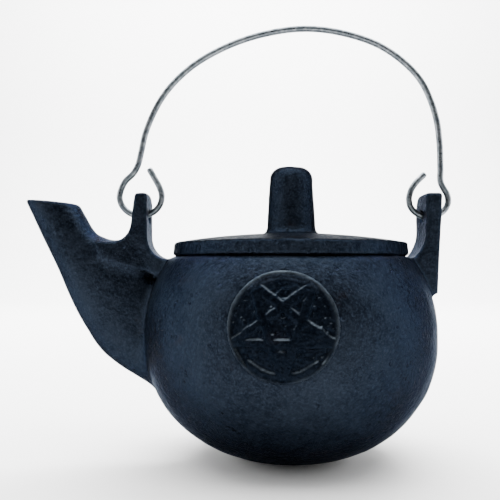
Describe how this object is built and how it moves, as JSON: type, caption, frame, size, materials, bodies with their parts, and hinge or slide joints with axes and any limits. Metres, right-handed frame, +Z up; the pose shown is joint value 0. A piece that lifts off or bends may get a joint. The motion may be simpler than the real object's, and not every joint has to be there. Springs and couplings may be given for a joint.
{
  "type": "cast iron teapot",
  "caption": "Small round cast iron tea kettle with an upturned spout, a knobbed lift-off lid and a swinging wire bail hooked through two ears.",
  "frame": {"origin": "centre of the flat base, on the table", "axes": "+Z up along the bowl's axis; -X towards the spout; -Y towards the side with the medallion"},
  "size_m": [0.1797, 0.1212, 0.1805],
  "materials": {
    "body_iron": "satin black, sand cast grain",
    "lid_iron": "satin black, sand cast grain",
    "bail_steel": "dull galvanised wire"
  },
  "bodies": {
    "kettle": {"body_casting": "body_iron"},
    "lid": {"lid_casting": "lid_iron"},
    "bail": {"bail_wire": "bail_steel"}
  },
  "joints": [
    {"name": "bail_swing", "type": "hinge", "parent": "kettle", "child": "bail", "pos_m": [0, 0, 0.0998], "axis": [1, 0, 0], "range_deg": [-125, 125]},
    {"name": "lid_lift", "type": "slide", "parent": "kettle", "child": "lid", "axis": [0, 0, 1], "range_m": [0, 0.045]}
  ]
}
